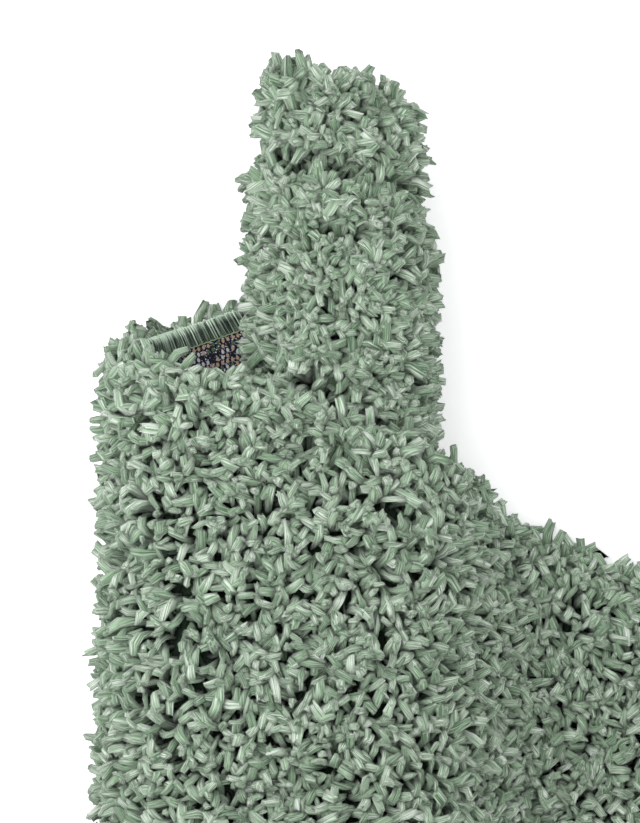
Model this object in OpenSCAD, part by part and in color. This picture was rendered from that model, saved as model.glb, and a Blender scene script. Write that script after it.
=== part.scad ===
// Shaggy bath mat, loosely rolled under at one end and lying on the floor.
//
// The mat is a flat rectangle of woven ground cloth with a tufted pile on one face and an overcast
// edge all round. It is bent without stretching: every line across the bend stays straight and
// parallel to Y. A place on the flat mat is (s, y), where s is the length along the bend, zero over
// the middle of the roll and growing inwards, and y is the distance along Y. The bend itself is the
// function bend(s). The mat is rolled askew, so its long edges climb as they wind and every turn
// of the roll stands further out than the one around it.

/* [Mat] */
// Length of the flat mat
mat_l = 900; // [700:5:1100]
// Width of the flat mat
mat_w = 500; // [400:5:650]
// Thickness of the woven ground cloth
cloth_t = 2.2; // [1.5:0.1:3]
// Standing height of the pile above the cloth
pile_h = 20; // [12:0.5:30]

/* [Roll] */
// Angle by which the mat is askew to the roll
skew = 20; // [15:0.5:25]
// Radius of the empty eye in the middle of the roll
eye_r = 9.2; // [7:0.1:14]
// Distance from one turn of the roll to the next
turn_pitch = 6; // [5.6:0.1:9]
// Length of the mat's far long edge inside the roll
wound_in = 288; // [240:1:300]
// Height of the pile that the roll lies on, pressed down
pressed_under = 13; // [8:0.5:20]
// Height of the pile between the roll and the layer over it, pressed down
pressed_over = 12; // [8:0.5:20]

/* [Fold and slope] */
// How far the fold reaches from the middle of the roll
fold_reach = 102; // [80:1:160]
// Level length of the top layer past the middle of the roll
crown_past = 10; // [5:1:60]
// Radius of the bend at the top of the slope
brow_r = 42; // [30:1:90]
// Radius of the bend at the foot of the slope
foot_r = 32; // [25:1:90]
// Angle of the slope down to the floor
slope_a = 60; // [35:1:65]

/* [Overcast edge] */
// Width of the overcast band on each face
band_w = 7; // [4:0.5:12]
// How far the overcasting stands off the cloth
band_off = 1.8; // [1:0.1:3]
// Diameter of the filler cord along the edge
cord_d = 3.2; // [2:0.1:5]
// Width of the lock thread beside the band
thread_w = 0.9; // [0.5:0.1:1.5]

/* [Pile edge] */
// How far the pile splays over the edge
splay = 12; // [4:1:20]

/* [Hidden] */

pile_green = [0.60, 0.70, 0.58];
yarn_green = [0.36, 0.47, 0.37];
thread_green = [0.62, 0.70, 0.54];
cord_white = [0.85, 0.84, 0.80];
cloth_grey = [0.30, 0.31, 0.34];

fit_gap = 0.15;       // gap between pieces that are wrapped or laid together
corner_cut = 1.2;     // bluntness of the cloth's corners, measured along s
corner_gap = 1;       // gap between the bands that meet at a corner
cord_r = cord_d / 2;
face = cloth_t / 2;
under_cloth = face + band_off + fit_gap;                // room a layer needs below its cloth's middle
nose_a = cord_d + band_off - 0.4;                       // how far the band's nose reaches past the cloth
base_inset = band_w + thread_w + 2 * fit_gap;           // how far the pile's foot stays from the edge
turn_room = turn_pitch - cloth_t - band_off - fit_gap;  // room for the pile between turns of the roll

arc_step = 15;        // degrees of bend between stations on a loose bend
turn_step = 18;       // degrees of bend between stations in the roll

// --- where the bends are -------------------------------------------------------------------------

wound_l = wound_in + mat_w * sin(skew);           // cloth in the roll, up to the innermost corner
roll_r = sqrt(eye_r * eye_r + turn_pitch * wound_l / PI);
floor_z = cloth_t / 2 + band_off;                 // cloth's middle where it lies on its edge band
under_z = pressed_under + cloth_t / 2;            // cloth's middle where it lies on its own pile
roll_z = under_z + roll_r;                        // the roll's axis
turn_top_r = roll_r - turn_pitch / 2;             // the first turn's radius at its top
crown_z = roll_z + turn_top_r + cloth_t + pressed_over;
fold_r = (crown_z - under_z) / 2;
fold_x = -(fold_reach - fold_r);
slope_drop = crown_z - floor_z - (brow_r + foot_r) * (1 - cos(slope_a));
slope_l = slope_drop / sin(slope_a);

rad = PI / 180;
s_brow = -crown_past;                             // the slope's bends, counted outwards
s_slope = s_brow - brow_r * slope_a * rad;
s_foot = s_slope - slope_l;
s_floor = s_foot - foot_r * slope_a * rad;
s_fold = -fold_x;                                 // the fold and the roll, counted inwards
s_under = s_fold + fold_r * PI;
s_roll = s_under - fold_x;
x_brow = crown_past;
x_slope = x_brow + brow_r * sin(slope_a);
z_slope = crown_z - brow_r * (1 - cos(slope_a));
x_foot = x_slope + slope_l * cos(slope_a);
x_floor = x_foot + foot_r * sin(slope_a);

// Angle turned in the roll, in degrees, after a length of cloth.
function turned(length) =
    (roll_r - sqrt(max(0, roll_r * roll_r - turn_pitch * length / PI))) * 360 / turn_pitch;
// Length of cloth in the roll up to an angle, in degrees.
function wound(angle) = roll_r * angle * rad - turn_pitch * pow(angle * rad, 2) / (4 * PI);

// The bend at s: [x, z, heading]. The heading is in degrees from +X towards +Z, going inwards.
function bend(s) =
    s < s_floor ? [x_floor + s_floor - s, floor_z, 180]
    : s < s_foot ? arc_at([x_floor, floor_z + foot_r], foot_r, -90 - (s - s_floor) / foot_r / rad, -1)
    : s < s_slope ? [
        x_foot - (s - s_foot) * cos(slope_a),
        floor_z + foot_r * (1 - cos(slope_a)) + (s - s_foot) * sin(slope_a),
        180 - slope_a
    ]
    : s < s_brow ? arc_at([x_brow, crown_z - brow_r], brow_r, 90 - slope_a + (s - s_slope) / brow_r / rad, 1)
    : s < s_fold ? [-s, crown_z, 180]
    : s < s_under ? arc_at([fold_x, under_z + fold_r], fold_r, 90 + (s - s_fold) / fold_r / rad, 1)
    : s < s_roll ? [s - s_roll, under_z, 360]
    : spiral_at(turned(s - s_roll));
function arc_at(centre, r, a, way) =
    [centre[0] + r * cos(a), centre[1] + r * sin(a), a + way * 90];
function spiral_at(a) =
    let (r = roll_r - turn_pitch * a / 360)
    [r * sin(a), roll_z - r * cos(a), a];

function proud(h) = [sin(h), 0, -cos(h)];         // unit vector out of the pile face

// --- the flat mat, as a rectangle turned by skew in (s, y) ------------------------------------------

cs = cos(skew);
sn = sin(skew);
s_tip = s_roll + wound_in;                        // the far inner corner, at the roll's tip
s_a = s_tip - mat_l * cs;                         // the far outer corner

// [s, y] of the rectangle's corner (u, v), drawn in by an inset on all sides.
function corner(u, v, inset = 0) =
    let (a = inset + u * (mat_l - 2 * inset), b = inset + v * (mat_w - 2 * inset))
    [s_a + a * cs + b * sn, s_a * sn / cs + a * sn - b * cs];
function high(s, inset = 0) =
    let (far = corner(0, 0, inset), tip = corner(1, 0, inset))
    min(far[1] + (s - far[0]) * sn / cs, tip[1] - (s - tip[0]) * cs / sn);
function low(s, inset = 0) =
    let (far = corner(0, 0, inset), near = corner(0, 1, inset))
    max(near[1] + (s - near[0]) * sn / cs, far[1] - (s - far[0]) * cs / sn);

// --- stations along s ------------------------------------------------------------------------------

function steps(a, b, n) = [for (i = [0 : n - 1]) a + (b - a) * i / n];
s_end = corner(1, 1)[0];
roll_turned = turned(s_end - s_roll);
roll_steps = ceil(roll_turned / turn_step);
all_stations = concat(
    [s_floor],
    steps(s_floor, s_foot, ceil(slope_a / arc_step)),
    steps(s_slope, s_brow, ceil(slope_a / arc_step)),
    steps(s_brow, s_fold, 2),
    steps(s_fold, s_under, ceil(180 / arc_step)),
    steps(s_under, s_roll, 2),
    [for (i = [0 : roll_steps]) s_roll + wound(roll_turned * i / roll_steps)],
    [for (inset = [0, base_inset]) each [corner(0, 1, inset)[0], corner(1, 0, inset)[0]]]
);
// The stations between a and b, with both ends.
function stations(a, b) = concat(a, [for (s = sorted_stations) if (s > a + 0.5 && s < b - 0.5) s], b);
function quicksort(v) =
    len(v) < 2 ? v
    : let (m = v[floor(len(v) / 2)])
      concat(
          quicksort([for (x = v) if (x < m) x]),
          [for (x = v) if (x == m) x],
          quicksort([for (x = v) if (x > m) x])
      );

in_order = quicksort(all_stations);
sorted_stations = [for (i = [0 : len(in_order) - 1]) if (i == 0 || in_order[i] - in_order[i - 1] > 0.3) in_order[i]];

// --- room for the pile -----------------------------------------------------------------------------

// Height that the floor leaves the pile at s.
function floor_room(s) =
    let (b = bend(s), n = proud(b[2]), face = b[1] + n[2] * cloth_t / 2)
    n[2] < -0.01 ? min(pile_h, face / -n[2]) : pile_h;
// Height that a layer above or below leaves the pile where it covers it, and the s of that layer.
function cover(s) =
    let (
        b = bend(s),
        a = b[2],
        n = proud(a),
        x = b[0] + n[0] * cloth_t / 2,
        z = b[1] + n[2] * cloth_t / 2
    )
    s <= s_roll || a < 30 ? [pile_h, s_a]
    : a < 270 ? under_top(x, z, n)
    : a < 360 ? [max(turn_room, (z - under_z - under_cloth) / max(0.05, -n[2])), s_roll + b[0]]
    : [turn_room, s_roll + wound(a - 360)];
// The same from (x, z) in the direction n, where the top layer is what covers.
function under_top(x, z, n) =
    let (
        tilt = [sin(slope_a), cos(slope_a)],
        from_brow = [x - x_brow, z - crown_z + brow_r],
        outwards = from_brow * [n[0], n[2]],
        level = n[2] > 0.05 ? (crown_z - under_cloth - z) / n[2] : 10 * pile_h,
        sloping = ([x_slope - x, z_slope - z] * tilt - under_cloth) / max(0.05, [n[0], n[2]] * tilt),
        inside_r = brow_r - under_cloth,
        bent = sqrt(max(0, outwards * outwards - from_brow * from_brow + inside_r * inside_r)) - outwards,
        down = (x + n[0] * sloping - x_slope) * cos(slope_a) + (z_slope - z - n[2] * sloping) * sin(slope_a),
        swing = atan2(from_brow[0] + n[0] * bent, from_brow[1] + n[2] * bent)
    )
    x + n[0] * level < x_brow ? [max(2, level), -x - n[0] * min(level, pile_h)]
    : down > 0 ? [max(2, sloping), s_slope - down]
    : [max(2, bent), s_brow - brow_r * swing * rad];
// --- solids ----------------------------------------------------------------------------------------

// Places what is drawn at the roll's axis so that the object stands centred on the origin.
x_low = fold_x - fold_r - cloth_t / 2 - pile_h;
x_high = bend(s_a + corner_cut)[0] + nose_a * cs;
y_high = high(corner(1, 0, base_inset)[0], base_inset) + splay;
y_low = low(corner(0, 1, base_inset)[0], base_inset) - splay;
module placed() {
    translate([-(x_low + x_high) / 2, -(y_low + y_high) / 2, 0]) children();
}

// A closed solid through a list of rings with equally many points. A folded ring is one whose
// second half runs back along its first, so that its ends are closed by a strip.
module skin(rings, folded = false) {
    n = len(rings[0]);
    m = len(rings);
    sides = [
        for (j = [0 : m - 2]) for (i = [0 : n - 1])
        let (a = j * n + i, b = j * n + (i + 1) % n) each [[a, b, a + n], [b, b + n, a + n]]
    ];
    strip = [for (i = [0 : n / 2 - 2]) each [[i, i + 1, n - 1 - i], [i + 1, n - 2 - i, n - 1 - i]]];
    ends = folded ? strip : [[for (i = [0 : n - 1]) i]];
    first = [for (f = ends) [for (k = [len(f) - 1 : -1 : 0]) f[k]]];
    last = [for (f = ends) [for (i = f) (m - 1) * n + i]];
    polyhedron(points = [for (r = rings) each r], faces = concat(sides, first, last));
}

// The point at (s, y) and a height above the cloth's middle.
function over(s, y, h) =
    let (b = bend(s), n = proud(b[2]))
    [b[0] + h * n[0], y, b[1] + h * n[2]];

module ground_cloth() {
    ends = [corner(0, 0)[0] + corner_cut, corner(1, 1)[0] - corner_cut];
    color(cloth_grey) placed() skin([
        for (s = stations(ends[0], ends[1])) [
            over(s, low(s), -cloth_t / 2),
            over(s, high(s), -cloth_t / 2),
            over(s, high(s), cloth_t / 2),
            over(s, low(s), cloth_t / 2)
        ]
    ]);
}

// One course of the pile, from s = a to s = b. It stands clear of the edge band, splays over it
// higher up, and is pressed down where another layer covers it.
module pile(a, b) {
    color(pile_green) placed() skin([
        for (s = stations(a, b)) let (
            top = high(s, base_inset),
            bottom = low(s, base_inset),
            full = floor_room(s),
            covered = cover(s),
            pressed = min(full, covered[0]),
            limit = covered[1] * sn / cs + nose_a / cs + 2 * fit_gap,
            step = min(max(limit, bottom + 1), top - 1),
            open = top > limit + 1,
            peak = open ? full : pressed,
            rise = max(0.4, min(peak - pressed, top - step - 0.5)),
            over_top = open ? splay : 0.4,
            loose = pressed >= full ? splay : 0.4,
            lift = min(full, pressed) * 0.45,
            foot = cloth_t / 2,
            clear = foot + min(band_off + 2 * fit_gap, pressed * 0.4)
        ) [
            over(s, bottom, foot),
            over(s, top, foot),
            over(s, top, foot + min(band_off + 2 * fit_gap, peak * 0.4)),
            over(s, top + over_top, foot + peak * 0.45),
            over(s, top + over_top * 0.6, foot + peak),
            over(s, step + rise, foot + peak),
            over(s, step, foot + pressed),
            over(s, bottom - loose * 0.6, foot + pressed),
            over(s, bottom - loose, foot + lift),
            over(s, bottom, clear)
        ]
    ]);
}
s_pile = [
    corner(0, 0, base_inset)[0] + corner_cut,
    s_slope, s_fold, s_under, s_roll,
    s_roll + wound(360),
    corner(1, 1, base_inset)[0] - corner_cut
];
module pile_flap() { pile(s_pile[0], s_pile[1]); }
module pile_crown() { pile(s_pile[1], s_pile[2]); }
module pile_fold() { pile(s_pile[2], s_pile[3]); }
module pile_under() { pile(s_pile[3], s_pile[4]); }
module pile_collar() { pile(s_pile[4], s_pile[5]); }
module pile_head() { pile(s_pile[5], s_pile[6]); }

// --- the overcast edge ------------------------------------------------------------------------------

// Each edge: the rectangle's corners that it runs between, and its outward direction in (s, y).
far_edge = [[0, 0], [1, 0], [-sn, cs]];
near_edge = [[0, 1], [1, 1], [sn, -cs]];
inner_edge = [[1, 0], [1, 1], [cs, sn]];
outer_edge = [[0, 0], [0, 1], [-cs, -sn]];

// A profile swept along an edge. Its points are [outwards from the cloth's edge, off the pile face].
module along_edge(edge, profile, stop, folded = false) {
    a = corner(edge[0][0], edge[0][1]);
    b = corner(edge[1][0], edge[1][1]);
    run = norm(b - a);
    from = a[0] + (b[0] - a[0]) * stop / run;
    to = b[0] - (b[0] - a[0]) * stop / run;
    out = edge[2];
    way = out * [b[1] - a[1], a[0] - b[0]] > 0 ? 1 : -1;
    ring = way > 0 ? profile : [for (i = [len(profile) - 1 : -1 : 0]) profile[i]];
    placed() skin([
        for (s = stations(from, to)) let (y = a[1] + (s - a[0]) * (b[1] - a[1]) / (b[0] - a[0]))
            [for (p = ring) over(s + p[0] * out[0], y + p[0] * out[1], p[1])]
    ], folded);
}
channel = [cord_d + 2 * fit_gap, cord_r + fit_gap];  // how deep and how high the band is inside, at the cord
half_band = [
    [-band_w, face + 0.7 * band_off], [-band_w / 2, face + 0.85 * band_off], [cord_r, face + band_off],
    [nose_a, face]
];
half_inside = [[-band_w, face + fit_gap / 2], [-band_w / 2, face + fit_gap / 2], [0, channel[1]], channel];
band_profile = concat(
    half_band, [for (i = [3 : -1 : 0]) [half_band[i][0], -half_band[i][1]]],
    [for (i = [0 : 3]) [half_inside[i][0], -half_inside[i][1]]], [for (i = [3 : -1 : 0]) half_inside[i]]
);
cord_profile = [for (i = [0 : 5]) [cord_r + fit_gap + cord_r * cos(-60 * i), cord_r * sin(-60 * i)]];
thread_mid = [-band_w - fit_gap - thread_w / 2, -face - fit_gap - thread_w / 2];
thread_profile = [for (i = [0 : 3]) thread_mid + thread_w / 2 * [cos(-90 * i), sin(-90 * i)]];

module edge_cord(edge, stop) { color(cord_white) along_edge(edge, cord_profile, stop); }
module overcast(edge, stop) { color(yarn_green) along_edge(edge, band_profile, stop, true); }
module lock_thread(edge, stop) { color(thread_green) along_edge(edge, thread_profile, stop); }

// The long edges' yarns run to the corners, and the short edges' stop between them.
long_stop = corner_cut / cs;
short_stop = band_w + corner_gap;

ground_cloth();
pile_flap();
pile_crown();
pile_fold();
pile_under();
pile_collar();
pile_head();
edge_cord(far_edge, long_stop);  // edge_cord_far
edge_cord(near_edge, long_stop);  // edge_cord_near
edge_cord(inner_edge, short_stop);  // edge_cord_inner
edge_cord(outer_edge, short_stop);  // edge_cord_outer
overcast(far_edge, long_stop);  // overcast_far
overcast(near_edge, long_stop);  // overcast_near
overcast(inner_edge, short_stop);  // overcast_inner
overcast(outer_edge, short_stop);  // overcast_outer
lock_thread(far_edge, base_inset);  // lock_thread_far
lock_thread(near_edge, base_inset);  // lock_thread_near
lock_thread(inner_edge, base_inset);  // lock_thread_inner
lock_thread(outer_edge, base_inset);  // lock_thread_outer
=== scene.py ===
import math

import bmesh
import bpy
import numpy as np
from mathutils import Matrix, Vector
from mathutils.bvhtree import BVHTree


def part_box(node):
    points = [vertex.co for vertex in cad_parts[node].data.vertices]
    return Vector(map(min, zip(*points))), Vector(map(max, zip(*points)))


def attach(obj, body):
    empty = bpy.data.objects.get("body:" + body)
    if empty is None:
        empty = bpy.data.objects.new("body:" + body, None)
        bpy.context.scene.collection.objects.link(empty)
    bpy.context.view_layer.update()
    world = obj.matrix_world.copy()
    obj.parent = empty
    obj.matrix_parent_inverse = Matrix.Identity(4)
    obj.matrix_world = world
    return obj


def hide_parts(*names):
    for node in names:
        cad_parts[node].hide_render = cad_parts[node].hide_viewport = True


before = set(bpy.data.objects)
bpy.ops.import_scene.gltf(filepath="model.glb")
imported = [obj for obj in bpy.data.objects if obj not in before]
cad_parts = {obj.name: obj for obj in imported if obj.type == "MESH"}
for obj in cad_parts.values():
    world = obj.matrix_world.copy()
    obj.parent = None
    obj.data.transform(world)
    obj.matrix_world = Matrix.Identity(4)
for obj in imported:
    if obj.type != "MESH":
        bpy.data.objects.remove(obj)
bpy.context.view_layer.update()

scene = bpy.context.scene
chance = np.random.default_rng(20)
mm = 0.001

# The flat mat and the way it lies. They are the CAD model's own sizes.
mat = {
    "length": 900 * mm,
    "width": 500 * mm,
    "cloth": 2.2 * mm,
    "skew": math.radians(20),
    "eyeRadius": 9.2 * mm,
    "turnPitch": 6 * mm,
    "woundIn": 288 * mm,
    "pressedUnder": 13 * mm,
    "pressedOver": 12 * mm,
    "foldReach": 102 * mm,
    "crownPast": 10 * mm,
    "browRadius": 42 * mm,
    "footRadius": 32 * mm,
    "slope": math.radians(60),
    "bandWidth": 7 * mm,
    "bandOff": 1.8 * mm,
    "cord": 3.2 * mm,
}

print("laying out the mat")

skewSin, skewCos = math.sin(mat["skew"]), math.cos(mat["skew"])
woundLength = mat["woundIn"] + mat["width"] * skewSin
rollRadius = math.sqrt(mat["eyeRadius"]**2 + mat["turnPitch"] * woundLength / math.pi)
halfCloth = mat["cloth"] / 2
floorZ = halfCloth + mat["bandOff"]
underZ = mat["pressedUnder"] + halfCloth
rollZ = underZ + rollRadius
crownZ = rollZ + rollRadius - mat["turnPitch"] / 2 + mat["cloth"] + mat["pressedOver"]
foldRadius = (crownZ - underZ) / 2
foldX = foldRadius - mat["foldReach"]
slopeSin, slopeCos = math.sin(mat["slope"]), math.cos(mat["slope"])
drop = crownZ - floorZ - (mat["browRadius"] + mat["footRadius"]) * (1 - slopeCos)
slopeLength = drop / slopeSin
sBrow = -mat["crownPast"]                           # s is the length along the bend, inwards from the crown
sSlope = sBrow - mat["browRadius"] * mat["slope"]
sFoot = sSlope - slopeLength
sFloor = sFoot - mat["footRadius"] * mat["slope"]
sFold = -foldX
sUnder = sFold + foldRadius * math.pi
sRoll = sUnder - foldX
sTip = sRoll + mat["woundIn"]
sOuter = sTip - mat["length"] * skewCos
xSlope = mat["crownPast"] + mat["browRadius"] * slopeSin
xFoot = xSlope + slopeLength * slopeCos
xFloor = xFoot + mat["footRadius"] * slopeSin

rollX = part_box("pile_under")[1][0]                  # where the roll's axis is in the frame
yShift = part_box("ground_cloth")[1][1] - sTip * skewSin / skewCos


def bendAt(s):
    # x, z and heading of the cloth's middle at each s
    s = np.asarray(s, float)
    pitch, radius = mat["turnPitch"], rollRadius
    wound = np.clip(s - sRoll, 0, None)
    turned = (radius - np.sqrt(np.clip(radius**2 - pitch * wound / math.pi, 0, None))) * 2 * math.pi / pitch
    spiral = radius - pitch * turned / (2 * math.pi)
    foot = (s - sFloor) / mat["footRadius"]
    brow = mat["slope"] - (s - sSlope) / mat["browRadius"]
    fold = (s - sFold) / foldRadius
    where = [s < sFloor, s < sFoot, s < sSlope, s < sBrow, s < sFold, s < sUnder, s < sRoll]
    x = np.select(where, [
        xFloor + sFloor - s,
        xFloor - mat["footRadius"] * np.sin(foot),
        xFoot - (s - sFoot) * slopeCos,
        mat["crownPast"] + mat["browRadius"] * np.sin(brow),
        -s,
        foldX - foldRadius * np.sin(fold),
        s - sRoll,
    ], spiral * np.sin(turned))
    z = np.select(where, [
        floorZ + 0 * s,
        floorZ + mat["footRadius"] * (1 - np.cos(foot)),
        floorZ + mat["footRadius"] * (1 - slopeCos) + (s - sFoot) * slopeSin,
        crownZ - mat["browRadius"] * (1 - np.cos(brow)),
        crownZ + 0 * s,
        underZ + foldRadius * (1 + np.cos(fold)),
        underZ + 0 * s,
    ], rollZ - spiral * np.cos(turned))
    heading = np.select(where, [
        math.pi + 0 * s,
        math.pi - foot,
        math.pi - mat["slope"] + 0 * s,
        math.pi - brow,
        math.pi + 0 * s,
        math.pi + fold,
        2 * math.pi + 0 * s,
    ], turned)
    return x, z, heading


def bendAxes(flat):
    # the place of each flat (u, v) on the cloth's middle, and the ways along u, along v and out of the pile
    u, v = flat[:, 0], flat[:, 1]
    s = sOuter + u * skewCos + v * skewSin
    y = sOuter * skewSin / skewCos + u * skewSin - v * skewCos
    x, z, heading = bendAt(s)
    along = np.stack([np.cos(heading), 0 * s, np.sin(heading)], 1)
    across = np.array([0.0, 1.0, 0.0])
    place = np.stack([x + rollX, y + yShift, z], 1)
    return place, along * skewCos + across * skewSin, along * skewSin - across * skewCos, \
        np.stack([np.sin(heading), 0 * s, -np.cos(heading)], 1)


def rollUp(points):
    # bends flat points (u, v, height over the cloth's middle) to where they lie, never below the floor
    place, _, _, proud = bendAxes(points)
    place = place + proud * points[:, 2:3]
    place[:, 2] = np.maximum(place[:, 2], 0.05 * mm)
    return place


def meshFrom(name, points, quads, material, uv):
    mesh = bpy.data.meshes.new(name)
    mesh.vertices.add(len(points))
    mesh.vertices.foreach_set("co", np.asarray(points, np.float32).ravel())
    mesh.loops.add(quads.size)
    mesh.loops.foreach_set("vertex_index", quads.astype(np.int32).ravel())
    mesh.polygons.add(len(quads))
    mesh.polygons.foreach_set("loop_start", np.arange(len(quads), dtype=np.int32) * 4)
    mesh.update(calc_edges=True)
    mesh.validate()
    mesh.polygons.foreach_set("use_smooth", np.ones(len(mesh.polygons), bool))
    layer = mesh.uv_layers.new(name="UVMap")
    layer.data.foreach_set("uv", uv.astype(np.float32).ravel())
    mesh.materials.append(material)
    piece = bpy.data.objects.new(name, mesh)
    scene.collection.objects.link(piece)
    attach(piece, "root")
    return piece


def readOut(bm):
    # the points and quads of a bmesh, with its UVs corner by corner
    bm.verts.index_update()
    layer = bm.loops.layers.uv.active
    points = np.array([v.co for v in bm.verts])
    quads = np.array([[v.index for v in f.verts] for f in bm.faces])
    uv = np.array([[loop[layer].uv for loop in f.loops] for f in bm.faces])
    bm.free()
    return points, quads, uv



def linear(r, g, b):
    return tuple((c / 12.92 if c <= 0.04045 else ((c + 0.055) / 1.055) ** 2.4) for c in (r, g, b)) + (1.0,)


class Graph:
    def __init__(self, tree):
        self.tree = tree

    def node(self, kind, settings=None, **inputs):
        made = self.tree.nodes.new(kind)
        for key, value in (settings or {}).items():
            setattr(made, key, value)
        for key, value in inputs.items():
            numbered = key[0] == "i" and key[1:].isdigit()
            socket = made.inputs[int(key[1:]) if numbered else key.replace("_", " ")]
            if isinstance(value, bpy.types.NodeSocket):
                self.tree.links.new(value, socket)
            else:
                socket.default_value = value
        return made

    def math(self, operation, a, b=0.0):
        return self.node("ShaderNodeMath", {"operation": operation}, i0=a, i1=b).outputs[0]

    def mix(self, fraction, a, b, blend="MIX"):
        made = self.node("ShaderNodeMix", {"data_type": "RGBA", "blend_type": blend})
        for index, value in ((0, fraction), (6, a), (7, b)):
            if isinstance(value, bpy.types.NodeSocket):
                self.tree.links.new(value, made.inputs[index])
            else:
                made.inputs[index].default_value = value
        return made.outputs[2]

    def ramp(self, value, stops):
        made = self.node("ShaderNodeValToRGB", i0=value)
        band = made.color_ramp
        while len(band.elements) < len(stops):
            band.elements.new(0.5)
        for element, (place, colour) in zip(band.elements, stops):
            element.position = place
            element.color = colour
        return made.outputs[0]


yarn = {
    "dark": linear(0.25, 0.36, 0.255),
    "mid": linear(0.485, 0.605, 0.48),
    "light": linear(0.675, 0.775, 0.66),
    "pale": linear(0.93, 0.96, 0.925),
    "strands": 30.0,
    "rootShade": 0.36,
}


def yarnGroup():
    # heathered yarn: fine strands lengthwise, a tone for each tuft, and painted shade darkening it towards
    # the root
    tree = bpy.data.node_groups.new("heatheredYarnRootShade", "ShaderNodeTree")
    for name, kind in (("Strand UV", "NodeSocketVector"), ("Strands", "NodeSocketFloat"),
                       ("Root Shade", "NodeSocketFloat")):
        tree.interface.new_socket(name, in_out="INPUT", socket_type=kind)
    for name, kind in (("Color", "NodeSocketColor"), ("Height", "NodeSocketFloat")):
        tree.interface.new_socket(name, in_out="OUTPUT", socket_type=kind)
    g = Graph(tree)
    inside = g.node("NodeGroupInput")
    outside = g.node("NodeGroupOutput")
    parts = g.node("ShaderNodeSeparateXYZ", i0=inside.outputs[0])
    u, v = parts.outputs[0], parts.outputs[1]
    number = g.math("FLOOR", u)
    around = g.math("SUBTRACT", u, number)
    lean = g.math("ADD", g.math("MULTIPLY", around, inside.outputs[1]), g.math("MULTIPLY", v, 2.5))
    place = g.node("ShaderNodeCombineXYZ", i0=lean, i1=g.math("MULTIPLY", v, 1.8),
                   i2=g.math("MULTIPLY", number, 3.7))
    fibre = g.node("ShaderNodeTexNoise", {"noise_dimensions": "3D"}, Vector=place.outputs[0], Scale=1.0,
                   Detail=3.0, Roughness=0.62)
    toned = g.node("ShaderNodeTexWhiteNoise", {"noise_dimensions": "1D"}, W=number)
    strand = g.node("ShaderNodeMapRange", Value=fibre.outputs[0], From_Min=0.28, From_Max=0.7).outputs[0]
    shifted = g.math("ADD", strand, g.math("MULTIPLY", g.math("SUBTRACT", toned.outputs[0], 0.5), 0.34))
    colour = g.ramp(shifted, [(0.0, yarn["dark"]), (0.34, yarn["mid"]), (0.62, yarn["light"]),
                              (0.93, yarn["pale"])])
    # painted shade: the yarn darkens towards the root, down to Root Shade, where the pile shades itself
    depth = g.node("ShaderNodeMapRange", {"interpolation_type": "SMOOTHSTEP"}, Value=v, From_Min=0.15,
                   From_Max=0.85)
    shade = g.math("ADD", g.math("MULTIPLY", depth.outputs[0], g.math("SUBTRACT", 1.0, inside.outputs[2])),
                   inside.outputs[2])
    dim = g.node("ShaderNodeCombineColor", i0=shade, i1=g.math("POWER", shade, 0.9), i2=shade)
    g.tree.links.new(g.mix(1.0, colour, dim.outputs[0], "MULTIPLY"), outside.inputs[0])
    g.tree.links.new(strand, outside.inputs[1])
    return tree


def newMaterial(name, roughness, sheen=0.0):
    material = bpy.data.materials.new(name)
    material.use_nodes = True
    g = Graph(material.node_tree)
    shader = material.node_tree.nodes["Principled BSDF"]
    shader.inputs["Roughness"].default_value = roughness
    shader.inputs["Specular IOR Level"].default_value = 0.25
    shader.inputs["Sheen Weight"].default_value = sheen
    shader.inputs["Sheen Roughness"].default_value = 0.45
    return material, g, shader


def uvNode(g):
    return g.node("ShaderNodeUVMap", {"uv_map": "UVMap"}).outputs[0]


heatheredWithRootShade = yarnGroup()


def pileMaterial():
    material, g, shader = newMaterial("sagePileYarn", 0.92, 0.4)
    strands = g.node("ShaderNodeGroup", {"node_tree": heatheredWithRootShade}, i0=uvNode(g), i1=yarn["strands"],
                     i2=yarn["rootShade"])
    bump = g.node("ShaderNodeBump", Strength=0.9, Distance=0.0008, Height=strands.outputs[1])
    g.tree.links.new(strands.outputs[0], shader.inputs["Base Color"])
    g.tree.links.new(bump.outputs[0], shader.inputs["Normal"])
    return material


pileYarn = pileMaterial()


weave = {
    "pitch": 2.8 * mm,
    "row": 2.8 * mm,
    "firstRow": 8.0 * mm,
    "navy": linear(0.09, 0.10, 0.15),
    "beige": linear(0.84, 0.70, 0.60),
    "white": linear(0.90, 0.91, 0.95),
    "green": linear(0.36, 0.46, 0.34),
    "hem": linear(0.10, 0.16, 0.12),
}


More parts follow.
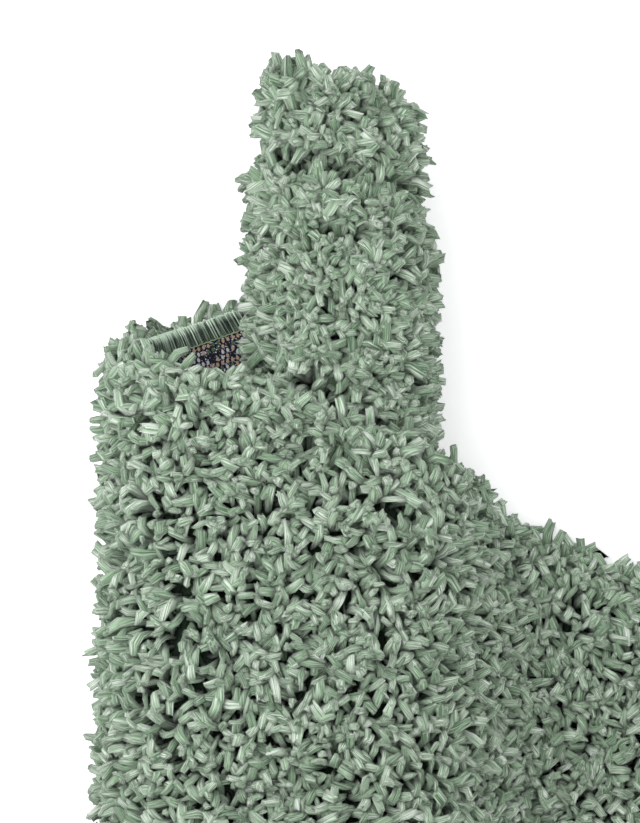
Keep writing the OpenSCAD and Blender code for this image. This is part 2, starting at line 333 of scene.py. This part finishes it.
def clothMaterial():
    # the woven back: rows of knots of changing colour, with white flecks between them on a dark ground
    material, g, shader = newMaterial("wovenBack", 0.8, 0.1)
    uv = uvNode(g)
    parts = g.node("ShaderNodeSeparateXYZ", i0=uv)
    u, v = parts.outputs[0], parts.outputs[1]
    row = g.math("DIVIDE", g.math("SUBTRACT", v, weave["firstRow"]), weave["row"])
    rowNumber = g.math("FLOOR", row)
    shifted = g.math("ADD", g.math("DIVIDE", u, weave["pitch"]), g.math("MULTIPLY", rowNumber, 0.37))
    cell = g.node("ShaderNodeCombineXYZ", i0=g.math("FLOOR", shifted), i1=rowNumber)
    pick = g.node("ShaderNodeTexWhiteNoise", {"noise_dimensions": "2D"}, Vector=cell.outputs[0]).outputs[0]
    rowKind = g.math("FLOORED_MODULO", rowNumber, 4.0)
    stray = g.math("MULTIPLY", g.math("SUBTRACT", pick, 0.5), 0.36)
    choice = g.math("ADD", g.math("DIVIDE", rowKind, 4.0), stray)
    knot = g.ramp(choice, [(0.0, weave["beige"]), (0.13, weave["green"]), (0.3, weave["white"]),
                           (0.4, weave["navy"]), (0.6, weave["beige"]), (0.72, weave["white"]),
                           (0.86, weave["navy"])])
    knot.node.color_ramp.interpolation = "CONSTANT"
    warp = g.node("ShaderNodeTexNoise", Vector=uv, Scale=900.0, Detail=2.0).outputs[0]
    across = g.math("SUBTRACT", g.math("FRACT", shifted), 0.5)
    down = g.math("SUBTRACT", g.math("FRACT", row), 0.5)
    away = g.math("SQRT", g.math("ADD", g.math("POWER", g.math("MULTIPLY", across, 1.5), 2.0),
                                 g.math("POWER", down, 2.0)))
    away = g.math("ADD", away, g.math("MULTIPLY", g.math("SUBTRACT", warp, 0.5), 0.3))
    inKnot = g.node("ShaderNodeMapRange", {"interpolation_type": "SMOOTHSTEP"}, Value=away, From_Min=0.48,
                    From_Max=0.36)
    fleck = g.node("ShaderNodeMapRange", {"interpolation_type": "SMOOTHSTEP"}, Value=warp, From_Min=0.56,
                   From_Max=0.66)
    ground = g.mix(fleck.outputs[0], weave["navy"], weave["white"])
    fine = g.node("ShaderNodeTexNoise", Vector=uv, Scale=4200.0, Detail=2.0).outputs[0]
    tinted = g.mix(g.math("MULTIPLY", fine, 0.55), knot, weave["navy"])
    colour = g.mix(inKnot.outputs[0], ground, tinted)
    margin = g.math("MINIMUM", g.math("MINIMUM", u, g.math("SUBTRACT", mat["length"], u)),
                    g.math("MINIMUM", v, g.math("SUBTRACT", mat["width"], v)))
    hem = g.math("LESS_THAN", margin, mat["bandWidth"] + 0.2 * mm)
    height = g.math("ADD", inKnot.outputs[0], g.math("MULTIPLY", fine, 0.4))
    bump = g.node("ShaderNodeBump", Strength=0.8, Distance=0.0007, Height=height)
    g.tree.links.new(g.mix(hem, colour, weave["hem"]), shader.inputs["Base Color"])
    g.tree.links.new(bump.outputs[0], shader.inputs["Normal"])
    return material


def spunMaterial(name, dark, light, strands, roughness, paintedCrestHighlight=0.0, low=0.35):
    # a spun or plied yarn on its own UV: strands lengthwise, with a painted highlight halfway along, where a
    # wrap's outer crest catches the light, as strong as paintedCrestHighlight
    material, g, shader = newMaterial(name, roughness, 0.2)
    parts = g.node("ShaderNodeSeparateXYZ", i0=uvNode(g))
    around = g.math("MULTIPLY", parts.outputs[0], strands)
    place = g.node("ShaderNodeCombineXYZ", i0=around, i1=parts.outputs[1])
    fibre = g.node("ShaderNodeTexNoise", Vector=place.outputs[0], Scale=1.0, Detail=2.0)
    fromMiddle = g.math("ABSOLUTE", g.math("SUBTRACT", parts.outputs[1], 0.5))
    crestHighlightMask = g.math("SUBTRACT", 1.0, g.math("MULTIPLY", fromMiddle, 3.6))
    raised = g.math("ADD", fibre.outputs[0], g.math("MULTIPLY", g.math("MAXIMUM", crestHighlightMask, 0.0), paintedCrestHighlight))
    mask = g.node("ShaderNodeMapRange", Value=raised, From_Min=low, From_Max=0.7)
    bump = g.node("ShaderNodeBump", Strength=0.5, Distance=0.0003, Height=mask.outputs[0])
    g.tree.links.new(g.mix(mask.outputs[0], dark, light), shader.inputs["Base Color"])
    g.tree.links.new(bump.outputs[0], shader.inputs["Normal"])
    return material


clothWeave = clothMaterial()
# the cloth's pile side: the yarn's green darkened as painted shade down between the tufts
pileSidePaintedShade = spunMaterial("pileSidePaintedShade", linear(0.10, 0.15, 0.11), linear(0.24, 0.33, 0.24), 900.0, 0.95)
# edge yarn: dark strands with a painted highlight of pale green along the outer crest of each wrap
edgeYarn = spunMaterial("edgeYarn", linear(0.12, 0.20, 0.15), linear(0.82, 0.90, 0.82), 5.0, 0.42, 0.3, 0.45)
lockYarn = spunMaterial("lockYarn", linear(0.45, 0.53, 0.38), linear(0.74, 0.80, 0.64), 4.0, 0.6)
cordYarn = spunMaterial("cordYarn", linear(0.40, 0.45, 0.38), linear(0.60, 0.66, 0.57), 6.0, 0.8)


print("weaving the ground cloth")
clothGrid = {"cell": 4 * mm}


def groundCloth():
    bm = bmesh.new()
    cols = round(mat["length"] / clothGrid["cell"])
    rows = round(mat["width"] / clothGrid["cell"])
    bmesh.ops.create_grid(bm, x_segments=cols, y_segments=rows, size=0.5)
    bmesh.ops.scale(bm, vec=(mat["length"], mat["width"], 1), verts=bm.verts)
    bmesh.ops.translate(bm, vec=(mat["length"] / 2, mat["width"] / 2, -halfCloth), verts=bm.verts)
    layer = bm.loops.layers.uv.new("UVMap")
    for face in bm.faces:
        for loop in face.loops:
            loop[layer].uv = loop.vert.co.xy
    lifted = bmesh.ops.extrude_face_region(bm, geom=bm.faces[:])
    upper = [e for e in lifted["geom"] if isinstance(e, bmesh.types.BMVert)]
    bmesh.ops.translate(bm, vec=(0, 0, mat["cloth"]), verts=upper)
    bmesh.ops.recalc_face_normals(bm, faces=bm.faces)
    points, quads, uv = readOut(bm)
    made = meshFrom("groundCloth", rollUp(points), quads, clothWeave, uv)
    # the pile-side faces get the painted shade material
    made.data.materials.append(pileSidePaintedShade)
    made.data.polygons.foreach_set("material_index", (points[quads][..., 2] > 0).all(1).astype(np.int32))
    return made


cloth = groundCloth()
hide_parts("ground_cloth")


print("overcasting the edge")
edging = {
    "pitch": 1.5 * mm,
    "yarn": 0.62 * mm,
    "sides": 5,
    "slant": 0.34,
    "thread": 0.42 * mm,
    "stitch": 3.2 * mm,
    "cornerGap": 8 * mm,
}
# each edge: where it starts and ends on the flat mat, the way out of the mat, and how far it stops short
edges = {
    "far": ((0, 0), (mat["length"], 0), (0, -1), 1.2 * mm),
    "near": ((0, mat["width"]), (mat["length"], mat["width"]), (0, 1), 1.2 * mm),
    "outer": ((0, 0), (0, mat["width"]), (-1, 0), edging["cornerGap"]),
    "inner": ((mat["length"], 0), (mat["length"], mat["width"]), (1, 0), edging["cornerGap"]),
}


def onEdge(edge, q, out, height):
    # flat places from the distance along an edge, outwards from it and over the cloth's middle
    start, end, way, _ = edges[edge]
    run = (Vector(end) - Vector(start)).normalized()
    return np.stack([start[0] + run.x * q + way[0] * out, start[1] + run.y * q + way[1] * out, height], 1)


def sweptTube(path, radii, sides):
    # a closed tube swept by extruding a ring along a path; its UV runs round and along
    bm = bmesh.new()
    ringOf = bm.verts.layers.int.new("ring")
    ring = bmesh.ops.create_circle(bm, segments=sides, radius=1.0)["verts"]
    rings, lines = [ring], bm.edges[:]
    for _ in path[1:]:
        grown = bmesh.ops.extrude_edge_only(bm, edges=lines)["geom"]
        ring = [e for e in grown if isinstance(e, bmesh.types.BMVert)]
        lines = [e for e in grown if isinstance(e, bmesh.types.BMEdge) and
                 e.verts[0] in ring and e.verts[1] in ring]
        rings.append(ring)
    sideOf = {}
    for number, ring in enumerate(rings):
        before, after = path[max(number - 1, 0)], path[min(number + 1, len(path) - 1)]
        turn = (Vector(after) - Vector(before)).to_track_quat("Z", "X")
        order = sorted(ring, key=lambda v: math.atan2(v.co.y, v.co.x))
        for side, vert in enumerate(order):
            vert[ringOf] = number
            sideOf[vert] = side
            vert.co = Vector(path[number]) + turn @ Vector((vert.co.x * radii[0], vert.co.y * radii[1], 0))
    layer = bm.loops.layers.uv.new("UVMap")
    for face in bm.faces:
        numbers = [sideOf[v] for v in face.verts]
        wraps = max(numbers) - min(numbers) > sides / 2
        for loop, number in zip(face.loops, numbers):
            turn = (number + sides if wraps and number < sides / 2 else number) / sides
            loop[layer].uv = (turn, loop.vert[ringOf] / (len(path) - 1))
    bmesh.ops.recalc_face_normals(bm, faces=bm.faces)
    return readOut(bm)


def wrapPath():
    # one wrap of yarn, from the back of the band round the cord to the pile side
    reach = mat["cord"] + mat["bandOff"] - 1.1 * mm
    high = halfCloth + mat["bandOff"] - edging["yarn"] - 0.05 * mm
    low = halfCloth + 0.35 * mm
    side = [(-mat["bandWidth"], low), (-0.55 * mat["bandWidth"], 0.5 * (low + high)), (0.0, high),
            (0.72 * reach, 0.82 * high)]
    path = [(p, -h) for p, h in side] + [(reach, 0.0)] + [(p, h) for p, h in reversed(side)]
    return [(edging["slant"] * (p + mat["bandWidth"]) * 0.5 * (1 if h > 0 else -1), p, h) for p, h in path]


def overcast(edge):
    start, end, _, stop = edges[edge]
    length = (Vector(end) - Vector(start)).length
    shape, faces, uv = sweptTube(wrapPath(), (edging["yarn"] * 1.2, edging["yarn"]), edging["sides"])
    q = np.arange(stop + edging["pitch"], length - stop - edging["pitch"], edging["pitch"])
    n = len(q)
    wobble = chance.normal(0, 0.09 * mm, (n, 1))
    high = chance.normal(1, 0.035, (n, 1))
    flat = onEdge(edge, (q[:, None] + shape[None, :, 0] + wobble).ravel(),
                  (shape[None, :, 1] + wobble).ravel(), (shape[None, :, 2] * np.minimum(high, 1.03)).ravel())
    quads = (faces[None] + (np.arange(n) * len(shape))[:, None, None]).reshape(-1, 4)
    numbered = np.repeat(uv[None], n, 0)
    numbered[..., 0] += np.arange(n)[:, None, None] % 251
    piece = meshFrom("overcast" + edge.title(), rollUp(flat), quads, edgeYarn, numbered.reshape(-1, 2))
    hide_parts("overcast_" + edge)
    return piece


def alongEdge(name, edge, node, material, out, height, radius, stop, wave, sides):
    # a thin cord or thread laid along an edge, swaying by wave
    start, end, _, _ = edges[edge]
    length = (Vector(end) - Vector(start)).length
    steps = round((length - 2 * stop) / (edging["stitch"] / 4 if wave else 4 * mm))
    bm = bmesh.new()
    bmesh.ops.create_grid(bm, x_segments=steps, y_segments=sides, size=0.5)
    layer = bm.loops.layers.uv.new("UVMap")
    for face in bm.faces:
        for loop in face.loops:
            loop[layer].uv = (loop.vert.co.y + 0.5, (loop.vert.co.x + 0.5) * length / (8 * mm))
    points, quads, uv = readOut(bm)
    along = stop + (points[:, 0] + 0.5) * (length - 2 * stop)
    turn = (points[:, 1] + 0.5) * 2 * math.pi
    sway = wave * np.sin(along / edging["stitch"] * 2 * math.pi)
    flat = onEdge(edge, along, out + sway + radius * np.cos(turn), height + radius * np.sin(turn))
    piece = meshFrom(name + edge.title(), rollUp(flat), quads, material, uv)
    bm = bmesh.new()
    bm.from_mesh(piece.data)
    bmesh.ops.remove_doubles(bm, verts=bm.verts, dist=0.001 * mm)
    bmesh.ops.holes_fill(bm, edges=[e for e in bm.edges if e.is_boundary], sides=sides)
    bmesh.ops.recalc_face_normals(bm, faces=bm.faces)
    bm.to_mesh(piece.data)
    bm.free()
    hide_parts(node + edge)
    return piece


for edge in edges:
    stop = edges[edge][3]
    overcast(edge)
    alongEdge("edgeCord", edge, "edge_cord_", cordYarn,
                          mat["cord"] / 2 + 0.15 * mm, 0.0, mat["cord"] / 2, stop, 0.0, 8)
    alongEdge("lockThread", edge, "lock_thread_", lockYarn,
                          -mat["bandWidth"] - 0.5 * mm, -halfCloth - edging["thread"], edging["thread"],
                          8.2 * mm, 0.22 * mm, 6)


print("making tufts")
tuft = {
    "variants": 48,
    "sides": 6,
    "rings": 5,
    "length": 23 * mm,
    "base": 1.1 * mm,
    "belly": 1.85 * mm,
    "shoulder": 2.3 * mm,
    "tip": 1.9 * mm,
    "lobe": 0.17,
    "fray": 1.7 * mm,
    "spacing": 3.75 * mm,
    "edgeRow": 3.3 * mm,
    "jitter": 0.46,
    "nap": math.radians(13),
    "scatter": math.radians(17),
    "splay": math.radians(70),
    "splayReach": 34 * mm,
    "rootInset": 1.6 * mm,
    "thinFrom": 15 * mm,
    "thinTo": 38 * mm,
    "openRoom": 16 * mm,
    "leastRoom": 4 * mm,
    "stepReach": (10 * mm, 23 * mm),
    "stepRoom": 8 * mm,
    "stepLean": math.radians(52),
    "hiddenMargin": 30 * mm,
    "floorMargin": 24 * mm,
    "floorFacing": -0.55,
    "hiddenShare": 0.5,
}


def tuftShape(curl):
    # one tuft standing at the origin: a twisted, fluted bundle with a frayed end, bowed by curl towards +X
    sides, rings = tuft["sides"], tuft["rings"] - (curl < 0.4)
    hook = 0.3 + 2.7 * curl**1.2
    twist = chance.uniform(-2.2, 2.2)
    sway = chance.uniform(-0.6, 0.6)
    slim = chance.uniform(0.6, 0.95)
    bm = bmesh.new()
    ringOf = bm.verts.layers.int.new("ring")
    made = bmesh.ops.create_circle(bm, segments=sides, radius=1.0, cap_ends=False)
    loops = [made["verts"]]
    edges = bm.edges[:]
    for ring in range(rings):
        extruded = bmesh.ops.extrude_edge_only(bm, edges=edges)["geom"]
        verts = [e for e in extruded if isinstance(e, bmesh.types.BMVert)]
        edges = [e for e in extruded if isinstance(e, bmesh.types.BMEdge) and
                 e.verts[0] in verts and e.verts[1] in verts]
        loops.append(verts)
    for ring, verts in enumerate(loops):
        for vert in verts:
            vert[ringOf] = ring
    centre, tilt = Vector((0, 0, 0)), 0.0
    step = tuft["length"] / rings
    for ring, verts in enumerate(loops):
        t = ring / rings
        radius = np.interp(t, [0, 0.35, 0.8, 1], [tuft[k] for k in ("base", "belly", "shoulder", "tip")])
        turn = Matrix.Rotation(tilt, 3, "Y") @ Matrix.Rotation(twist * t, 3, "Z")
        for side, vert in enumerate(sorted(verts, key=lambda w: math.atan2(w.co.y, w.co.x))):
            lobe = 1 + tuft["lobe"] * (1 if side % 2 else -1)
            out = Vector((vert.co.x * radius * lobe * slim, vert.co.y * radius * lobe, 0))
            if ring == rings:
                out.z = chance.uniform(-1, 0.6) * tuft["fray"]
                out *= chance.uniform(0.8, 1.15)
            vert.co = centre + turn @ out
        tilt = hook * ((ring + 1) / rings) ** 3.2
        centre = centre + Matrix.Rotation(tilt, 3, "Y") @ Vector((0, sway * step * math.sin(3 * t), step))
    ends = [e for e in bm.edges if e.is_boundary]
    caps = bmesh.ops.edgeloop_fill(bm, edges=ends)["faces"]
    bmesh.ops.recalc_face_normals(bm, faces=bm.faces)
    return bm, ringOf, caps, rings


def tuftArrays(curl):
    sides = tuft["sides"]
    bm, ringOf, caps, rings = tuftShape(curl)
    order = {}
    for ring in range(rings + 1):
        verts = [v for v in bm.verts if v[ringOf] == ring]
        for v in verts:
            order[v] = verts.index(v)
    for cap in caps:                                # an end face becomes a strip of quads
        verts = list(cap.verts)
        bm.faces.remove(cap)
        for i in range(sides // 2 - 1):
            bm.faces.new([verts[k] for k in (i, i + 1, sides - 2 - i, sides - 1 - i)])
    layer = bm.loops.layers.uv.new("UVMap")
    for face in bm.faces:
        numbers = [order[v] for v in face.verts]
        wraps = max(numbers) - min(numbers) > sides / 2
        for loop, number in zip(face.loops, numbers):
            turn = (number + sides if wraps and number < sides / 2 else number) / sides
            loop[layer].uv = (0.04 + 0.9 * turn, loop.vert[ringOf] / rings)
    return readOut(bm)


shapes = [tuftArrays(number / (tuft["variants"] - 1)) for number in range(tuft["variants"])]


def smoothField(flat, size, seed):
    # a random direction that changes slowly over the mat
    rng = np.random.default_rng(seed)
    total = np.zeros((len(flat), 2))
    for _ in range(7):
        angle, phase, way = rng.uniform(0, 2 * math.pi, 3)
        across = flat @ np.array([math.cos(angle), math.sin(angle)])
        wave = across * 2 * math.pi / (size * rng.uniform(0.7, 1.5))
        total += np.sin(wave + phase)[:, None] * np.array([[math.cos(way), math.sin(way)]])
    return total / 2.2


def plantRoots():
    edge = mat["bandWidth"] + tuft["rootInset"]
    across = np.arange(edge, mat["width"] - edge + 1e-6, tuft["spacing"])
    along = np.arange(edge, mat["length"] - edge + 1e-6, tuft["spacing"])
    u, v = np.meshgrid(along, across)
    u = u + np.where(np.arange(len(across)) % 2, 0.5, 0.0)[:, None] * tuft["spacing"]
    flat = np.stack([u.ravel(), v.ravel()], 1)
    flat += chance.uniform(-1, 1, flat.shape) * tuft["jitter"] * tuft["spacing"]
    flat[:, 0] = np.clip(flat[:, 0], edge, mat["length"] - edge)
    flat[:, 1] = np.clip(flat[:, 1], edge, mat["width"] - edge)
    for number in range(3):                         # closer rows along every edge
        inset = edge + number * tuft["edgeRow"]
        for side in (inset, mat["width"] - inset):
            q = np.arange(inset, mat["length"] - inset, tuft["edgeRow"])
            flat = np.concatenate([flat, np.stack([q, np.full(len(q), side)], 1)])
        for side in (inset, mat["length"] - inset):
            q = np.arange(inset, mat["width"] - inset, tuft["edgeRow"])
            flat = np.concatenate([flat, np.stack([np.full(len(q), side), q], 1)])
    return flat


print("measuring the room over each tuft")
roots = plantRoots()
wound = sOuter + roots[:, 0] * skewCos + roots[:, 1] * skewSin > sRoll
inset = np.minimum(roots, np.array([mat["length"], mat["width"]]) - roots).min(axis=1)
sparse = (inset > tuft["thinFrom"]) & (inset < tuft["thinTo"]) & (chance.random(len(roots)) < 0.5)
thinned = wound | sparse                            # where the pile opens up and needs a second tuft
more = roots[thinned] + chance.uniform(-0.5, 0.5, (thinned.sum(), 2)) * tuft["spacing"]
least = mat["bandWidth"] + tuft["rootInset"]
more = np.clip(more, least, np.array([mat["length"], mat["width"]]) - least)
roots = np.concatenate([roots, more])
extra = np.arange(len(roots)) >= len(roots) - thinned.sum()
place, alongU, alongV, proud = bendAxes(roots)
clothFaces = [tuple(p.vertices) for p in cloth.data.polygons]
clothTree = BVHTree.FromPolygons([v.co[:] for v in cloth.data.vertices], clothFaces)


def roomOver(place, axis):
    # how far the pile can stand from its root in a direction before it meets the floor or another layer
    start = place + axis * (halfCloth + 0.3 * mm)
    room = np.full(len(place), 1.0)
    down = axis[:, 2] < -0.02
    room[down] = start[down, 2] / -axis[down, 2]
    for i in range(len(place)):
        hit = clothTree.ray_cast(Vector(start[i]), Vector(axis[i]), 0.1)
        if hit[0] is not None:
            room[i] = min(room[i], hit[3])
    return np.clip(room - 0.4 * mm, 1.2 * mm, None)


room = roomOver(place, proud)
beside = [(roomOver(place - np.array([0, reach, 0]), proud) < tuft["openRoom"]) & (room > tuft["openRoom"])
          for reach in tuft["stepReach"]]
stepped = np.where(beside[0], 1.0, np.where(beside[1], 0.8, 0.0))
room[beside[0]] = np.minimum(room[beside[0]], tuft["stepRoom"])     # close to the edge of an outer turn
margin = np.minimum(roots, np.array([mat["length"], mat["width"]]) - roots).min(axis=1)
upwards = np.broadcast_to([0.0, 0.0, 1.0], place.shape)
covered = (roomOver(place + proud * 2 * mm, upwards) < 90 * mm) & (margin > tuft["hiddenMargin"])
pressed = (proud[:, 2] < tuft["floorFacing"]) & (margin > tuft["floorMargin"])     # lies on the floor
dropped = (pressed | covered) & (chance.random(len(room)) < tuft["hiddenShare"])
seen = (room > tuft["leastRoom"]) | (margin < tuft["thinFrom"])
seen &= ~dropped & ~(extra & ((room < tuft["openRoom"]) | covered))
roots, place, alongU, alongV, proud, room, stepped, covered = (
    a[seen] for a in (roots, place, alongU, alongV, proud, room, stepped, covered))
opened = (sOuter + roots[:, 0] * skewCos + roots[:, 1] * skewSin > sRoll) & (room > tuft["openRoom"])

nap = smoothField(roots, 90 * mm, 3) * tuft["nap"] + smoothField(roots, 26 * mm, 5) * tuft["nap"] * 0.8
fromEdge = np.stack([roots[:, 0], mat["length"] - roots[:, 0], roots[:, 1], mat["width"] - roots[:, 1]], 1)
pull = np.clip(1 - fromEdge / tuft["splayReach"], 0, 1)
nap += chance.normal(0, 1, nap.shape) * tuft["scatter"] * (1 - 0.5 * pull.max(axis=1, keepdims=True)) \
    * (1 - 0.3 * opened[:, None])
nap[:, 0] += (pull[:, 1] - pull[:, 0]) * tuft["splay"]
nap[:, 1] += (pull[:, 3] - pull[:, 2]) * tuft["splay"]
nap[:, 1] -= stepped * tuft["stepLean"]             # leans away from that edge
stout = 1 + 0.22 * pull.max(axis=1) + 0.25 * (covered | (proud[:, 2] < tuft["floorFacing"])) + 0.08 * opened
leanSize = np.linalg.norm(nap, axis=1)
lean = np.clip(leanSize, 0, math.radians(72))
leanWay = nap / np.maximum(leanSize, 1e-6)[:, None]


def plantTufts(name, chosen, node):
    # one piece of pile: copies of the tuft shapes, leaning with the nap and pressed down where room is short
    points, quads, uvs, count = [], [], [], 0
    kinds = (len(shapes) * chance.random(len(chosen)) ** (1 + 0.6 * opened[chosen])).astype(int)
    for kind in range(len(shapes)):
        mine = chosen[kinds == kind]
        if not len(mine):
            continue
        shape, faces, uv = shapes[kind]
        n = len(mine)
        size = chance.uniform(0.86, 1.12, (n, 1, 1))
        thick = chance.uniform(0.85, 1.2, (n, 1)) * stout[mine][:, None]
        spin = chance.uniform(0, 2 * math.pi, n)
        c, s = np.cos(spin)[:, None], np.sin(spin)[:, None]
        local = shape[None] * size
        a = (local[..., 0] * c - local[..., 1] * s) * thick
        b = (local[..., 0] * s + local[..., 1] * c) * thick
        h = local[..., 2]
        tilt = lean[mine][:, None]
        wayA, wayB = leanWay[mine, 0][:, None], leanWay[mine, 1][:, None]
        forward = a * wayA + b * wayB
        sideways = -a * wayB + b * wayA
        forward, h = forward * np.cos(tilt) + h * np.sin(tilt), h * np.cos(tilt) - forward * np.sin(tilt)
        a = forward * wayA - sideways * wayB
        b = forward * wayB + sideways * wayA
        h = np.maximum(h, -0.4 * mm)
        limit = room[mine][:, None]
        tall = h.max(axis=1, keepdims=True)
        pressedTo = limit * (1 - np.exp(-h / limit * 1.2)) / (1 - np.exp(-tall / limit * 1.2))
        squeezed = np.where(tall > limit, pressedTo, h)
        h = np.where(h > 0, squeezed, h) + halfCloth
        where = place[mine][:, None] + alongU[mine][:, None] * a[..., None] \
            + alongV[mine][:, None] * b[..., None] + proud[mine][:, None] * h[..., None]
        low = 0.3 * mm + 0.02 * np.abs(where[..., 2])
        where[..., 2] = np.maximum(where[..., 2], low)
        points.append(where.reshape(-1, 3))
        quads.append((faces[None] + (np.arange(n) * len(shape))[:, None, None]).reshape(-1, 4) + count)
        numbered = np.repeat(uv[None], n, 0)
        numbered[..., 0] += (mine % 997)[:, None, None]
        uvs.append(numbered.reshape(-1, 2))
        count += n * len(shape)
    piece = meshFrom(name, np.concatenate(points), np.concatenate(quads), pileYarn, np.concatenate(uvs))
    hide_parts(node)
    return piece


print("planting the pile")
sRoots = sOuter + roots[:, 0] * skewCos + roots[:, 1] * skewSin
sHead = sRoll + 177 * mm
zones = [
    ("pileFlap", "pile_flap", sOuter, sSlope),
    ("pileCrown", "pile_crown", sSlope, sFold),
    ("pileFold", "pile_fold", sFold, sUnder),
    ("pileUnder", "pile_under", sUnder, sRoll),
    ("pileCollar", "pile_collar", sRoll, sHead),
    ("pileHead", "pile_head", sHead, math.inf),
]
mostTufts = 2500                                    # in one piece
for name, node, begin, end in zones:
    chosen = np.nonzero((sRoots >= begin) & (sRoots < end))[0]
    parts = math.ceil(len(chosen) / mostTufts)
    for number, share in enumerate(np.array_split(chosen, parts)):
        made = plantTufts(name + ("ABCDEFGH"[number] if parts > 1 else ""), share, node)
    print("  ", name, len(chosen), "tufts")


print("setting the studio")
studio = {
    "lens": 135.0,
    "distance": 1.2,
    "tilt": math.radians(8),
    "aim": (-9.5 * mm, 9 * mm, crownZ),
    "world": 1.1,
    "key": 1.2,
    "keySize": 0.4,
    "keyPlace": (-0.21, 0.0, 0.5),
    "floorGlow": 0.26,
}


def setStudio():
    bm = bmesh.new()
    bmesh.ops.create_grid(bm, x_segments=1, y_segments=1, size=4.0)
    mesh = bpy.data.meshes.new("floor")
    bm.to_mesh(mesh)
    bm.free()
    floor = bpy.data.objects.new("floor", mesh)
    scene.collection.objects.link(floor)
    material, _, shader = newMaterial("paleFloor", 0.9)
    shader.inputs["Base Color"].default_value = (0.95, 0.95, 0.97, 1.0)
    shader.inputs["Emission Color"].default_value = (1.0, 1.0, 1.0, 1.0)
    shader.inputs["Emission Strength"].default_value = studio["floorGlow"]
    mesh.materials.append(material)

    world = bpy.data.worlds.new("softLight")
    scene.world = world
    world.use_nodes = True
    world.node_tree.nodes["Background"].inputs[0].default_value = (1.0, 1.0, 1.0, 1.0)
    world.node_tree.nodes["Background"].inputs[1].default_value = studio["world"]

    lamp = bpy.data.lights.new("key", "AREA")
    lamp.shape = "DISK"
    lamp.size = studio["keySize"]
    lamp.energy = studio["key"]
    keyLight = bpy.data.objects.new("key", lamp)
    keyLight.location = Vector((rollX, yShift, 0)) + Vector(studio["keyPlace"])
    keyLight.rotation_euler = Vector(studio["keyPlace"]).to_track_quat("Z", "Y").to_euler()
    scene.collection.objects.link(keyLight)

    camera = bpy.data.objects.new("camera", bpy.data.cameras.new("camera"))
    camera.data.lens = studio["lens"]
    camera.data.sensor_width = 36.0
    camera.data.clip_start = 0.05
    aim = Vector((rollX + studio["aim"][0], yShift + studio["aim"][1], studio["aim"][2]))
    back = Vector((0, -math.sin(studio["tilt"]), math.cos(studio["tilt"])))
    camera.location = aim + back * studio["distance"]
    camera.rotation_euler = (studio["tilt"], 0, 0)
    camera.data.sensor_fit = "HORIZONTAL"
    scene.collection.objects.link(camera)
    scene.camera = camera
    scene.view_settings.view_transform = "Standard"


setStudio()
